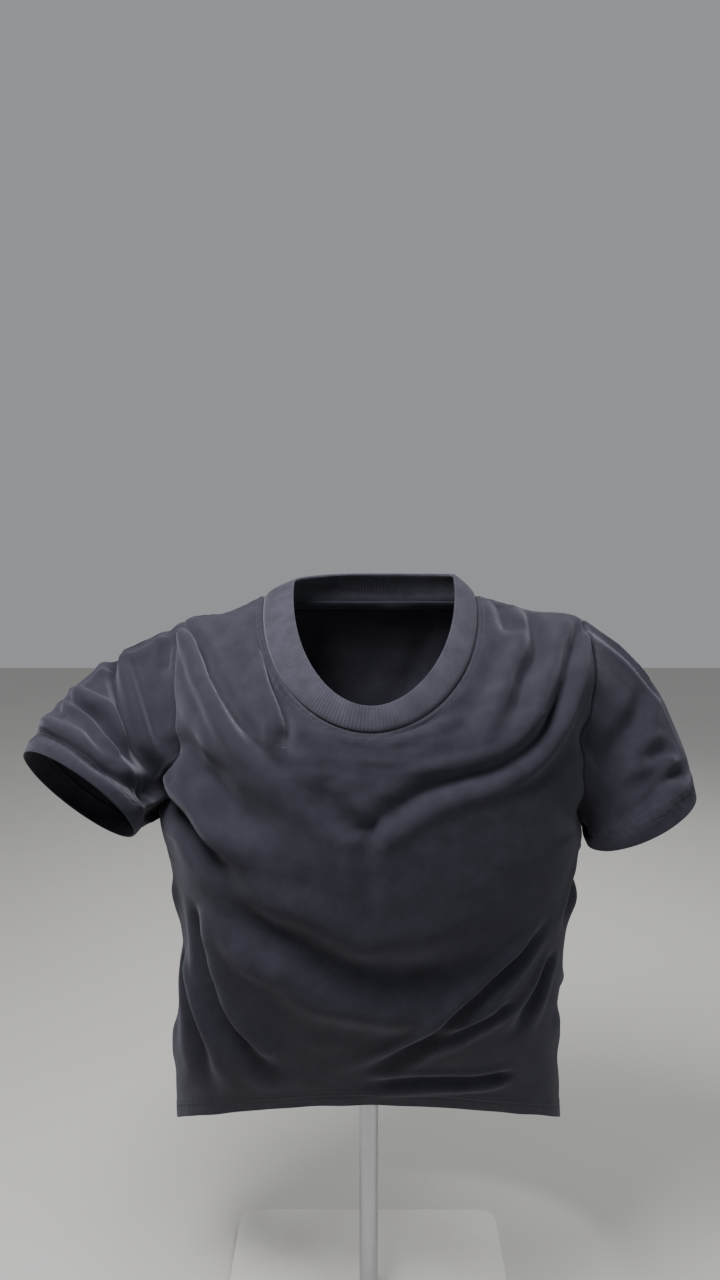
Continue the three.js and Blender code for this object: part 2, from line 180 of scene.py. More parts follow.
# The slope at each of some points, from the spans on both sides of it
def slopesAt(points, gaps):
    rates = np.diff(points, axis=0) / gaps
    inner = (rates[:-1] * gaps[1:] + rates[1:] * gaps[:-1]) / (gaps[1:] + gaps[:-1])
    return np.vstack([rates[:1], inner, rates[-1:]])


# Distances along a grid's rows (axis 0) or columns (axis 1), from its first line
def lengths(grid, axis):
    steps = np.linalg.norm(np.diff(grid, axis=axis), axis=-1)
    start = np.zeros_like(np.take(steps, [0], axis=axis))
    return np.concatenate([start, np.cumsum(steps, axis=axis)], axis=axis)


# A smooth curve through points, with the same number of steps in each span
def smoothLine(points, perSpan):
    points = np.asarray(points, float)
    gaps = np.maximum(np.linalg.norm(np.diff(points, axis=0), axis=1), 1e-6)[:, None] ** 0.5
    slopes = slopesAt(points, gaps)
    t = np.linspace(0, 1, perSpan, endpoint=False)[:, None]
    spans = [
        smoothSpan(points[i], slopes[i] * gap, points[i + 1], slopes[i + 1] * gap, t)
        for i, gap in enumerate(gaps)
    ]
    return np.vstack([*spans, points[-1:]])


# Outward normals of a grid whose rows run up and whose columns run anticlockwise, as seen from above
def gridNormals(grid, closed=False):
    upwards = np.gradient(grid, axis=0)
    if closed:
        across = np.roll(grid, -1, axis=1) - np.roll(grid, 1, axis=1)
    else:
        across = np.gradient(grid, axis=1)
    return unit(np.cross(across, upwards))


# The shirt's body. A level has its share of the way up, its heights at the front, both sides and the back,
# its half breadths, and how far back its chest, sides and spine lie. Right is the shirt's own right, -X.
body = {
    "levels": np.array([
        (0.0, 282, 208, 208, 188, 197, 197, -52, 40, 150),
        (0.16, 376, 314, 314, 285, 192, 188, -92, 26, 142),
        (0.32, 460, 424, 424, 385, 180, 188, -120, 14, 134),
        (0.475, 538, 552, 546, 478, 192, 197, -130, 8, 128),
        (0.62, 592, 640, 630, 574, 186, 203, -127, 14, 128),
        (0.8, 629, 727, 728, 674, 174, 200, -121, 22, 118),
        (0.9, 644, 734, 737, 715, 138, 151, -115, 28, 100),
        (1.0, 651, 750, 750, 744, 100, 101, -108, 32, 80),
    ]),
    "squareness": 2.3,
    "tiltEase": 1.25,
    "armpit": 0.475,
    "shoulder": 0.8,
    "frontDip": 28,  # degrees that the front panel gives up to the sleeve
    "backDip": 22,
    "halfBreadth": 190,
    "hemWithin": 0.15,  # the rows at the hem lie below this, and those at the neck above the next
    "neckWithin": 0.85,
    "neckFade": 0.035,  # share of the way up over which folds and slack end
    "seamHold": 0.5,  # how much of a fold the shoulder seam holds down, and how close by
    "seamClose": 60,
}
cloth = {
    "thickness": 0.8,
    "hemDepth": 22,
    "hemRoll": 0.9,
    "insideFrom": 1.6,  # rolls from the edge at which the turned-under and the outer cloth start
    "outsideFrom": 1.2,
    "needles": (14.6, 20.4),  # rows of stitching above a hem
}
seam = {
    "gap": 0.3,
    "depth": 1.3,  # how deep the stitching pulls the cloth in
    "width": 1.5,
    "allowances": (1.0, 2.5),  # how far the turned-in edge reaches inward
    "lean": 0.18,  # how far a panel's turned-in edge leans towards its neighbour, to meet it
    "sleeveLean": 0.34,
    "neckAllowance": 6,
    "neckNeedles": (1.8, 6.2),  # rows of stitching below the neck seam
}


def levelAt(up):
    table = body["levels"]
    up = np.asarray(up, float)
    steps = np.diff(table[:, 0])[:, None]
    slopes = slopesAt(table, steps)
    i = np.clip(np.searchsorted(table[:, 0], up, side="right") - 1, 0, len(table) - 2)
    t = ((up - table[i, 0]) / steps[i, 0])[..., None]
    return smoothSpan(table[i], slopes[i] * steps[i], table[i + 1], slopes[i + 1] * steps[i], t)


def ringPoint(ring, angle):
    _, front, right, left, back, halfRight, halfLeft, chest, middle, spine = np.moveaxis(ring, -1, 0)
    across = np.sin(np.radians(angle))
    ahead = np.cos(np.radians(angle))
    square = body["squareness"]
    reach = (np.abs(across) ** square + np.abs(ahead) ** square) ** (-1 / square)
    leftShare = ease((across + 1) / 2)
    half = halfRight + (halfLeft - halfRight) * leftShare
    side = right + (left - right) * leftShare
    depth = np.where(ahead > 0, middle - chest, spine - middle)
    end = np.where(ahead > 0, front, back)
    height = side + (end - side) * np.abs(ahead) ** body["tiltEase"]
    return np.stack([half * across * reach, middle - depth * ahead * reach, height], -1)


def plainBody(angle, up):
    angle, up = spread(angle, up)
    return ringPoint(levelAt(up), angle)


def bodyNormal(angle, up):
    up = np.clip(up, 0.002, 0.998)
    across = plainBody(angle + 0.2, up) - plainBody(angle - 0.2, up)
    upwards = plainBody(angle, up + 0.002) - plainBody(angle, up - 0.002)
    return unit(np.cross(across, upwards))


# A fold runs through points of (angle round the body, per cent of the way up), 0 at the front and 90 at the
# shirt's left. depth is the valley's, width its half width. lean raises one bank over the other, sharp is how
# creased the valley is, from 2 for a round one down to 1, and tuck is how far the high bank hangs over it.
def fold(path, depth, width, lean=0.0, sharp=2.0, tuck=0.0):
    return {"path": path, "depth": depth, "width": width, "lean": lean, "sharp": sharp, "tuck": tuck}


bank = {
    "height": 0.5,  # against the valley's depth
    "out": 1.8,  # half widths from the valley
    "breadth": 0.8,
    "overhangOut": 1.3,
    "overhangBreadth": 0.5,
    "reach": 4.2,  # half widths that a fold reaches in all
    "blur": 1.1,  # millimetres that the valley's floor is rounded over
    "fadeIn": 0.16,  # shares of its path over which a fold starts and ends
    "fadeOut": 0.36,
    "startWidth": 0.85,  # a fold widens along its path
    "widening": 0.5,
    "deepen": 1.5,  # multiplies every depth and tuck
    "stepsPerSpan": 7,
}
bodyFolds = [
    # front, from the shoulders and the neck
    fold(
        [(-90, 80), (-78, 83.5), (-68, 85), (-58, 85), (-48, 84), (-38, 81), (-28, 76.5), (-18, 72)],
        9.5, 6, -0.5, 1.25, 4,
    ),
    fold([(-82, 98), (-70, 98), (-60, 97), (-52, 95)], 3.5, 5.5, 0.3, 1.6, 1),
    fold(
        [(-74, 99), (-56, 98.5), (-46, 97), (-35, 94), (-28, 89), (-23, 83), (-17, 77)],
        8.5, 5.5, -0.5, 1.25, 3.5,
    ),
    fold([(-58, 69), (-50, 64), (-42, 62), (-36, 59), (-30, 57), (-23, 54), (-14, 50)], 5, 14, 0.2),
    fold([(90, 96), (80, 95), (70, 93.5)], 5, 7, 0, 1.7, 1),
    fold([(92, 90), (81, 90), (66, 89), (55, 89), (46, 87), (36, 83), (28, 77)], 5.5, 7.5, -0.3, 1.6, 1.5),
    fold([(92, 80), (80, 82), (69, 83), (59, 82), (51, 80), (45, 76), (40, 71)], 6, 7, -0.3, 1.5, 1.5),
    fold([(70, 96), (58, 96), (44, 94), (34, 92), (24, 85), (16, 77)], 3, 9, 0, 1.8),
    fold([(4, 98), (16, 98), (28, 97), (40, 96)], 2.5, 5, 0.3, 1.7, 1),
    # front, across the chest
    fold([(-2, 55), (-5, 58), (-9, 61), (-12, 66), (-14, 72)], 3, 9, -0.3),
    fold(
        [(53, 82), (47, 78), (38, 72), (30, 69.5), (22, 69), (14, 67), (6, 62), (-2, 56), (-5, 51)],
        4.5, 8, 0.5, 1.6, 2,
    ),
    fold([(1, 60), (-1, 53), (0, 46), (2, 38)], 2, 8),
    # front, over the belly and the waist
    fold([(-76, 56), (-64, 52), (-54, 51), (-46, 48), (-39, 46), (-30, 42)], 7, 11, 0.4, 1.7, 2),
    fold([(-44, 43), (-30, 37), (-18, 34), (-6, 29), (6, 28), (18, 29), (32, 32), (48, 37)], 8, 20, -0.3),
    fold([(-54, 40), (-53, 34), (-50, 28), (-44, 21), (-36, 15), (-28, 10), (-18, 9)], 6, 10, 0.4, 1.7, 2),
    fold([(-72, 32), (-66, 26), (-56, 19), (-50, 10), (-47, 3)], 6, 10, 0.3, 1.7, 1),
    fold([(58, 32), (52, 26), (47, 22), (40, 15)], 4, 7, 0, 1.6, 1),
    fold([(54, 38), (42, 32), (33, 27), (24, 22), (16, 16), (9, 12), (2, 9), (-8, 5)], 5, 7, -0.4, 1.6, 1.5),
    fold([(40, 24), (32, 20), (22, 16.5), (13, 13)], 3, 5.5, 0, 1.6, 1),
    fold([(44, 9), (26, 6.5), (9, 5.5), (-6, 4.5)], 3.5, 6, 0.3, 1.7, 1),
    # beside the armholes
    fold([(-88, 62), (-74, 60), (-62, 62), (-52, 66)], 3, 9),
    fold([(-86, 50), (-78, 47), (-70, 42)], 4, 8, 0.2, 1.7),
    fold([(88, 60), (74, 62), (62, 66), (54, 71)], 2.5, 10),
    fold([(88, 51), (74, 50), (58, 53), (44, 58)], 3, 11),
    fold([(84, 46), (72, 40), (64, 33)], 4, 9, 0.2, 1.8),
    # sides
    fold([(74, 45), (92, 37), (116, 35)], 5, 12, 0.2, 1.8),
    fold([(70, 24), (92, 19), (112, 20)], 4, 12, 0.2, 1.8),
    fold([(-76, 42), (-94, 37), (-120, 38)], 4, 12, 0.2, 1.8),
    fold([(-80, 22), (-98, 15), (-120, 17)], 4, 12, 0.2, 1.8),
    # back
    fold([(106, 62), (120, 58), (138, 54), (164, 52)], 6, 14, 0.3, 1.7, 1),
    fold([(254, 60), (238, 56), (222, 51), (198, 48)], 6, 14, -0.3, 1.7, 1),
    fold([(112, 44), (130, 38), (150, 33), (180, 30), (210, 34), (240, 43)], 6, 17, 0.2, 1.8, 1),
    fold([(112, 24), (130, 19), (150, 16), (188, 13)], 6, 15, 0.3, 1.8, 1),
    fold([(250, 29), (232, 24), (215, 19), (186, 21)], 5, 13, 0, 1.8),
    fold([(150, 88), (160, 74), (170, 62)], 3, 14),
    fold([(211, 88), (201, 74), (191, 62)], 3, 14),
    fold([(118, 74), (130, 70), (144, 68)], 3, 10, 0.2, 1.8),
    fold([(242, 72), (230, 69), (216, 68)], 3, 10, -0.2, 1.8),
]


# Where each place lies against the nearest point of a line: how far off, which way, and how far along
def nearestOn(line, places):
    starts = line[:-1]
    steps = np.diff(line, axis=0)
    off = places[:, None] - starts
    t = np.clip((off * steps).sum(-1) / (steps**2).sum(-1), 0, 1)
    away = off - t[..., None] * steps
    distance = np.linalg.norm(away, axis=-1)
    best = distance.argmin(1)
    rows = np.arange(len(places))
    share = (best + t[rows, best]) / len(starts)
    return distance[rows, best], away[rows, best], unit(steps[best]), share


def layFolds(folds, surface):
    laid = []
    for entry in folds:
        path = np.array(entry["path"], float)
        line = smoothLine(surface(path[:, 0], path[:, 1] / 100), bank["stepsPerSpan"])
        laid.append({**entry, "line": line})
    return laid


# How the folds move the points of a surface
def foldMove(laid, places, normals, fadeIn):
    shape = places.shape
    places = places.reshape(-1, 3)
    normals = normals.reshape(-1, 3)
    move = np.zeros_like(places)
    for entry in laid:
        line = entry["line"]
        reach = bank["reach"] * entry["width"]
        close = ((places > line.min(0) - reach) & (places < line.max(0) + reach)).all(1)
        if not close.any():
            continue
        normal = normals[close]
        distance, away, heading, share = nearestOn(line, places[close])
        outward = away / np.maximum(distance, 1e-6)[:, None]
        side = (np.cross(heading, outward) * normal).sum(-1)
        fade = ease(share / fadeIn) * ease((1 - share) / bank["fadeOut"])
        fade = fade * bank["deepen"]
        halfWidth = entry["width"] * (bank["startWidth"] + bank["widening"] * share)
        w = np.sqrt(distance**2 + bank["blur"] ** 2) / halfWidth
        ridge = np.exp(-((w - bank["out"]) ** 2) / bank["breadth"])
        overhang = np.exp(-((w - bank["overhangOut"]) ** 2) / bank["overhangBreadth"])
        rise = bank["height"] * (1 + side * entry["lean"]) * ridge - np.exp(-(w ** entry["sharp"]))
        highSide = np.clip(side * (1 if entry["lean"] >= 0 else -1), 0, 1)
        hang = fade * entry["tuck"] * overhang * highSide
        move[close] += normal * (entry["depth"] * fade * rise)[:, None] - outward * hang[:, None]
    return move.reshape(shape)


# Slack: long low waves in random directions, the same each run
def slack(u, v, seed, waves, shortest, longest):
    draw = np.random.default_rng(seed)
    total = np.zeros(np.broadcast(u, v).shape)
    for _ in range(waves):
        length = draw.uniform(shortest, longest)
        heading = draw.uniform(0, np.pi)
        phase = draw.uniform(0, 2 * np.pi)
        turn = (u * math.cos(heading) + v * math.sin(heading)) * 2 * np.pi / length
        total += np.sin(turn + phase) * length / longest
    return total / math.sqrt(waves)


laidBodyFolds = layFolds(bodyFolds, plainBody)
bodySlack = {
    "acrossPerDegree": 3.2,  # millimetres
    "upPerShare": 725,
    "short": (3, 14, 26, 70),  # seed, number of waves, and their shortest and longest length
    "shortHeight": 0.45,
    "long": (8, 10, 60, 150),
    "longHeight": 0.9,
}


# A place on the shirt's body with its folds, or, with inward above 0, inside it
def bodyPlace(angle, up, inward=0.0):
    angle, up = spread(angle, up)
    place = plainBody(angle, up)
    normal = bodyNormal(angle, up)
    atNeck = ease((1 - up) / body["neckFade"])
    turn = np.abs(np.sin(np.radians(angle)))
    offSeam = np.where(up > body["shoulder"], 1 - body["seamHold"] * turn ** body["seamClose"], 1)
    u = angle * bodySlack["acrossPerDegree"]
    v = up * bodySlack["upPerShare"]
    low = slack(u, v, *bodySlack["short"]) * bodySlack["shortHeight"]
    low = low + slack(u, v, *bodySlack["long"]) * bodySlack["longHeight"]
    move = foldMove(laidBodyFolds, place, normal, bank["fadeIn"]) * (atNeck * offSeam)[..., None]
    return place + move + normal * (low * atNeck - inward)[..., None]


# Relief of stitched cloth in millimetres: heights, how far each reaches, and the lengths of its waves
relief = {
    "groove": {"height": -0.32, "width": 0.9},
    "needlePull": {"height": -0.08, "width": 2},
    "hemPucker": {"height": 0.22, "at": 15, "width": 8, "wave": 8.7, "stray": 1.3, "strayWave": 41},
    "hemStep": {"height": 0.35, "start": 1.5, "width": 2.5},
    "seamRoll": {"height": 0.3, "at": 4, "width": 2.4},
    "seamPucker": {"height": 0.22, "at": 4, "width": 4.5, "wave": 9.5, "stray": 1, "strayWave": 23},
}


# Puckers: waves along a seam or hem that stray from an even length
def puckers(kind, distance, along):
    size = relief[kind]
    wave = np.sin(along * 2 * np.pi / size["wave"] + size["stray"] * np.sin(along / size["strayWave"]))
    return size["height"] * hump(distance, size["at"], size["width"]) * wave


# How the rows of needle holes groove and pucker the cloth, by the distance from an edge
def needleRelief(fromEdge, along, needles):
    groove, pull = relief["groove"], relief["needlePull"]
    total = np.zeros(np.broadcast(fromEdge, along).shape)
    for row, needle in enumerate(needles):
        total += groove["height"] * hump(fromEdge, needle, groove["width"])
        wave = np.sin(along * 2 * np.pi / thread["pitch"] + row)
        total += pull["height"] * hump(fromEdge, needle, pull["width"]) * wave
    return total


def hemRelief(fromHem, along):
    step = relief["hemStep"]
    doubled = ease((cloth["hemDepth"] + step["start"] - fromHem) / step["width"])
    needled = needleRelief(fromHem, along, cloth["needles"])
    return needled + puckers("hemPucker", fromHem, along) + step["height"] * doubled


# How a seam pulls the cloth in beside it
def seamRelief(fromSeam, along):
    size = relief["seamRoll"]
    pull = -seam["depth"] * hump(fromSeam, 0, seam["width"])
    roll = size["height"] * hump(fromSeam, size["at"], size["width"])
    return pull + roll + puckers("seamPucker", fromSeam, along)


# How far along a surface lines have got at given distances, one line for each column
def alongAt(surface, across, distances, first, last, samples=160):
    t = np.linspace(first, last, samples)[:, None]
    gone = lengths(surface(across[None], t), 0)
    return np.stack([np.interp(distances, gone[:, i], t[:, 0]) for i in range(len(across))], 1)


# Distances from the hem and the neck at which the cloth has a row of points, closer by stitches and edges
hemRows = np.array([
    *(0, 0.6, 1.2, 2, 3.4, 5.4, 8, 10.6, 12.6, 13.7),
    *(14.6, 15.5, 17, 18.6, 19.5, 20.4, 21.3, 22.4, 23.8),
])
neckRows = np.array([12, 9, 7.2, 6.2, 5.2, 3.8, 2.8, 1.8, 1.0, 0.5, 0])


# The cloth turned under along the first row, which is its edge, for a depth inside
def turnUnder(grid, normals, depth):
    roll = cloth["hemRoll"]
    fromHem = lengths(grid, 0).mean(1)
    inside = [i for i in range(len(fromHem)) if cloth["insideFrom"] * roll < fromHem[i] <= depth]
    outside = [i for i in range(len(fromHem)) if fromHem[i] > cloth["outsideFrom"] * roll]
    upwards = unit(grid[1] - grid[0])
    rows = [grid[i] - normals[i] * (2 * roll) for i in reversed(inside)]
    turns = np.radians(np.arange(180, -1, -30))
    for turn in turns:
        ahead = upwards * roll * (1 - math.sin(turn))
        rows.append(grid[0] + ahead + normals[0] * roll * (math.cos(turn) - 1))
    rows += [grid[i] for i in outside]
    return np.array(rows), [*reversed(inside), *[0] * len(turns), *outside]


# The turned-in edge that a seam's allowance makes, at one end of a grid's rows or columns. It goes straight
# in from the face and leans out a little, so that it meets the next piece's edge and the seam is closed.
def turnIn(grid, outward, axis, atEnd, lean):
    edge = np.take(grid, [-1 if atEnd else 0], axis=axis)
    inner = np.take(grid, [-2 if atEnd else 1], axis=axis)
    wall = np.take(outward, [-1 if atEnd else 0], axis=axis)
    across = unit(edge - inner)
    across = unit(across - (across * wall).sum(-1, keepdims=True) * wall)
    added = [edge - wall * depth + across * lean for depth in seam["allowances"]]
    return np.concatenate([grid, *added] if atEnd else [*reversed(added), grid], axis=axis)


# A mesh from a grid of points, with a map of the cloth in real size for its knit
def makeGrid(name, grid, closed=False):
    rows, columns = grid.shape[:2]
    spans = columns if closed else columns - 1
    row, column = np.meshgrid(np.arange(rows - 1), np.arange(spans), indexing="ij")
    corners = [(row, column), (row, column + 1), (row + 1, column + 1), (row + 1, column)]
    faces = np.stack([r * columns + c % columns for r, c in corners], -1).reshape(-1, 4)
    mesh = bpy.data.meshes.new(name)
    mesh.from_pydata((grid.reshape(-1, 3) * mm).tolist(), [], faces.tolist())
    ring = np.concatenate([grid, grid[:, :1]], 1) if closed else grid
    u = lengths(ring, 1).mean(0)
    v = lengths(grid, 0).mean(1)
    flat = np.stack([np.stack([u[c], v[r]], -1) for r, c in corners], -2) * mm
    mesh.uv_layers.new(name="cloth").data.foreach_set("uv", flat.astype(np.float32).ravel())
    return addPiece(name, mesh)


# Gives a sheet its thickness, inward from its outer face
def thicken(piece, thickness):
    only(piece)
    solid = piece.modifiers.new("Thickness", "SOLIDIFY")
    solid.thickness = thickness * mm
    solid.offset = -1
    bpy.ops.object.modifier_apply(modifier=solid.name)
    piece.data.shade_smooth()


# Stitches: short soft bars of thread that dip into the cloth at both ends
thread = {
    "radius": 0.3,
    "length": 2.35,
    "pitch": 3.1,
    "rings": 5,
    "sides": 6,
    "lift": 0.42,  # radii that a stitch's middle stands up, and how fast its ends dip
    "dip": 3.9,
    "thinnest": 0.12,
}


def stitchesAlong(line, normals):
    gone = lengths(line, 0)
    count = int(gone[-1] / thread["pitch"])
    centres = (np.arange(count) + 0.5) * thread["pitch"]
    share = np.linspace(-0.5, 0.5, thread["rings"])
    at = centres[:, None] + share * thread["length"]
    place = np.stack([np.interp(at, gone, line[:, k]) for k in range(3)], -1)
    normal = unit(np.stack([np.interp(at, gone, normals[:, k]) for k in range(3)], -1))
    heading = unit(place[:, -1:] - place[:, :1])
    aside = np.cross(normal, heading)
    swell = np.sqrt(np.clip(1 - (2 * share) ** 4, thread["thinnest"], 1))[:, None]
    place = place + normal * ((thread["lift"] - thread["dip"] * share**2)[:, None] * thread["radius"])
    turn = np.arange(thread["sides"]) * 2 * np.pi / thread["sides"]
    radius = thread["radius"] * swell[:, :, None]
    around = aside[:, :, None] * np.cos(turn)[:, None] + normal[:, :, None] * np.sin(turn)[:, None]
    return place[:, :, None] + around * radius


def makeStitches(name, lines):
    tubes = np.concatenate([stitchesAlong(line, normals) for line, normals in lines])
    count, rings, sides = tubes.shape[:3]
    faces = []
    for r in range(rings - 1):
        for s in range(sides):
            n = (s + 1) % sides
            faces.append((r * sides + s, r * sides + n, (r + 1) * sides + n, (r + 1) * sides + s))
    caps = [tuple(reversed(range(sides))), tuple(range((rings - 1) * sides, rings * sides))]
    allFaces = [tuple(k * rings * sides + i for i in face) for k in range(count) for face in faces + caps]
    mesh = bpy.data.meshes.new(name)
    mesh.from_pydata((tubes.reshape(-1, 3) * mm).tolist(), [], allFaces)
    mesh.shade_smooth()
    return addPiece(name, mesh)


# Panels
panels = {
    "front": {"middle": 0, "dip": body["frontDip"], "halfArc": 290, "columns": 194},
    "back": {"middle": 180, "dip": body["backDip"], "halfArc": 285, "columns": 150},
    "edgeSteps": (0, 0.7, 1.5, 2.4, 3.6, 5.2, 7.2),
    "rowsBelow": 84,
    "rowsBeside": 64,
    "rowsAbove": 20,
    "seamReach": 30,  # how far along its edge a seam's relief looks, and a distance with none
    "farOff": 99,
}


def panelEdge(up, dip):
    share = np.clip((up - body["armpit"]) / (body["shoulder"] - body["armpit"]), 0, 1)
    return 90 - dip * np.sqrt(np.maximum(0, 1 - (2 * share - 1) ** 2))


def panelGrid(which):
    size = panels[which]
    armpit, shoulder = body["armpit"], body["shoulder"]
    steps = np.array(panels["edgeSteps"]) / size["halfArc"]
    inner = np.linspace(-1 + steps[-1], 1 - steps[-1], size["columns"])
    across = np.concatenate([-1 + steps[:-1], inner, (1 - steps[:-1])[::-1]])
    wide = size["middle"] + across * 90
    hem = alongAt(plainBody, wide, hemRows, 0, body["hemWithin"])
    neck = alongAt(plainBody, wide, neckRows, 1, body["neckWithin"])
    share = np.linspace(0, 1, panels["rowsBelow"])[1:-1, None]
    below = hem[-1] + (armpit - hem[-1]) * share
    turn = np.linspace(0, np.pi, panels["rowsBeside"] + 1)
    beside = armpit + (shoulder - armpit) * (1 - np.cos(turn)) / 2
    beside = np.repeat(beside[:, None], len(across), 1)
    share = np.linspace(0, 1, panels["rowsAbove"])[1:-1, None]
    above = shoulder + (neck[0] - shoulder) * share
    up = np.concatenate([hem, below, beside, above, neck])
    halfGap = math.degrees(seam["gap"] / 2 / body["halfBreadth"])
    angle = size["middle"] + across * (panelEdge(up, size["dip"]) - halfGap)
    grid = bodyPlace(angle, up)
    along, aside = lengths(grid, 0), lengths(grid, 1)
    fromNeck = along[-1:] - along
    rise = hemRelief(along, aside) + seamRelief(fromNeck, aside)
    rise += needleRelief(fromNeck, aside, seam["neckNeedles"])
    for column in (0, -1):
        line = grid[:, column]
        heading = unit(np.gradient(line, axis=0))[:, None]
        off = grid - line[:, None]
        distance = np.linalg.norm(np.cross(off, heading), axis=-1)
        far = np.linalg.norm(off, axis=-1) > panels["seamReach"]
        rise += seamRelief(np.where(far, panels["farOff"], distance), along)
    return grid + gridNormals(grid) * rise[..., None], bodyNormal(angle[:, [0, -1]], up[:, [0, -1]])


# The lines of points, with their normals, at which a grid's rows are stitched
def needleLines(grid, normals, rows, needles):
    return [(grid[i], normals[i]) for i in (list(rows).index(needle) for needle in needles)]


def makePanel(which, name):
    grid, outward = panelGrid(which)
    normals = gridNormals(grid)
    top = len(grid) - len(neckRows)
    stitched = {
        "hem": needleLines(grid, normals, hemRows, cloth["needles"]),
        "neck": needleLines(grid[top:], normals[top:], neckRows, seam["neckNeedles"]),
    }
    sheet, order = turnUnder(grid, normals, cloth["hemDepth"])
    outward = outward[order]
    sheet, order = turnUnder(sheet[::-1], gridNormals(sheet)[::-1], seam["neckAllowance"])
    sheet, outward = sheet[::-1], outward[::-1][order][::-1]
    for atEnd in (False, True):
        sheet = turnIn(sheet, outward, 1, atEnd, seam["lean"])
    piece = makeGrid(name, sheet)
    thicken(piece, cloth["thickness"])
    return piece, stitched


frontPanel, frontStitched = makePanel("front", "front_panel_cloth")
backPanel, backStitched = makePanel("back", "back_panel_cloth")
print("panels made")


# Sleeves. A fold on a sleeve runs through points of (angle round it, per cent of its length): -90 is the
# armpit, 0 the front, 90 the shoulder and 180 the back.
rightFolds = [
    fold([(122, 33), (97, 34), (72, 36), (45, 40), (12, 41), (-9, 31), (-33, 12)], 9, 6, 0.4, 1.25, 3),
    fold([(112, 65), (88, 66), (64, 64), (42, 59), (19, 57), (-4, 49), (-20, 30)], 7, 5.5, 0.4, 1.3, 2.5),
    fold([(118, 86), (94, 88), (70, 88), (42, 87), (12, 85), (-15, 71), (-27, 42)], 6, 5.5, 0.4, 1.35, 2.5),
    fold([(104, 72), (84, 73), (66, 75), (52, 76)], 3, 5.5, 0, 1.6),
    fold([(44, 70), (27, 75), (9, 74), (-4, 66)], 3, 5.5, 0.3, 1.6),
    fold([(-24, 40), (-33, 56), (-40, 40)], 2.5, 5),
    fold([(111, 12), (85, 6), (54, 5), (42, 5)], 4, 6, 0, 1.7),
    fold([(240, 24), (226, 30), (190, 44), (150, 50)], 5, 11, 0.3, 1.7, 1),
    fold([(244, 62), (220, 68), (200, 72), (150, 70)], 4, 10, 0, 1.7),
]
leftFolds = [
    fold([(74, 34), (60, 35), (45, 36), (30, 34), (12, 31), (-8, 22)], 4.5, 9, 0.4, 1.7, 1),
    fold([(62, 65), (48, 61), (33, 56), (19, 53)], 3.5, 7, 0.3, 1.7, 1),
    fold([(84, 80), (60, 78), (48, 76), (33, 71), (15, 70), (-6, 66), (-42, 49)], 4.5, 7, 0.3, 1.6, 1.5),
    fold([(50, 66), (30, 63), (8, 58), (-20, 45)], 2.5, 6),
    fold([(240, 20), (228, 26), (190, 40), (150, 44)], 5, 11, 0.3, 1.7, 1),
    fold([(240, 57), (220, 64), (196, 68), (156, 62)], 4, 10, 0, 1.7),
]

# The hem ring's centre, the way it faces and its radius, how strongly the cloth keeps its direction at both
# ends, and how far the sleeve's head stands up
sleeves = {
    "right": {
        "side": -1,
        "centre": (-249, -80, 589),
        "facing": (-0.52, -0.62, -0.66),
        "radius": 58,
        "start": 200,
        "end": 150,
        "cap": 14,
        "folds": rightFolds,
    },
    "left": {
        "side": 1,
        "centre": (251, -18, 547),
        "facing": (0.48, -0.05, -0.88),
        "radius": 54,
        "start": 200,
        "end": 125,
        "cap": 12,
        "folds": leftFolds,
    },
    "columns": 240,
    "rows": 104,
    "fadeIn": 0.42,  # a sleeve's folds come up slowly over its top
    "headFade": 0.1,  # share of the length over which folds end at the armhole
    "hemFade": 0.12,  # and over which they ease at the hem, and what is left of them there
    "hemKeep": 0.35,
    "pushEvening": range(-33, 34, 3),  # columns a fold's push is evened over, for the narrow ridge on top
    "leaveEvening": range(-36, 37, 12),  # degrees the way out of the armhole is evened over
    "leaveTop": 0.7,  # how the way out turns, from the shoulder to the armpit
    "leaveFoot": 0.8,
    "shorten": 0.6,  # how much less the cloth keeps its direction at the armpit
    "capSharpness": 1.5,
    "seamBlend": 8,  # millimetres over which the seam's pull turns to the sleeve's own
    "slack": {"across": 1.02, "along": 190, "seed": 21, "waves": (10, 22, 60), "height": 0.4},
    "topOut": 0.55,  # the way a sleeve's upper edge lies from its middle, out and up
    "topUp": 0.85,
    "armholeRows": np.array([7.5, 5.6, 4, 2.8, 1.8, 1.0, 0.5, 0]),
    "edgeSteps": 1440,
}


# The place on the armhole at an angle round the sleeve
def armholePlace(side, turn):
    onFront = turn <= 90
    share = np.where(onFront, (turn + 90) / 180, (270 - turn) / 180)
    up = body["armpit"] + (body["shoulder"] - body["armpit"]) * (1 - np.cos(np.pi * share)) / 2
    dip = np.where(onFront, body["frontDip"], -body["backDip"]) * np.sin(np.pi * share)
    return side * (90 - dip), up


# The way the body's surface goes on across the armhole, square to its edge
def armholeOut(side, turn):
    before, here, after = (armholePlace(side, turn + step) for step in (-2, 0, 2))
    along = plainBody(*after) - plainBody(*before)
    return unit(np.cross(along, bodyNormal(*here))) * side


# The way a sleeve leaves the armhole, evened over the corners at the armhole's top and foot
def sleeveOut(side, turn):
    turns = (np.mod(turn + step + 90, 360) - 90 for step in sleeves["leaveEvening"])
    return unit(sum(armholeOut(side, around) for around in turns))


# The armhole's edge on the folded body, worked out once round each side and read off between
def armholeStart(sleeve, turn):
    if "edge" not in sleeve:
        sleeve["edgeTurns"] = np.linspace(-90, 270, sleeves["edgeSteps"] + 1)
        sleeve["edge"] = bodyPlace(*armholePlace(sleeve["side"], sleeve["edgeTurns"]))
    around = np.mod(turn + 90, 360) - 90
    return np.stack([np.interp(around, sleeve["edgeTurns"], sleeve["edge"][:, k]) for k in range(3)], -1)


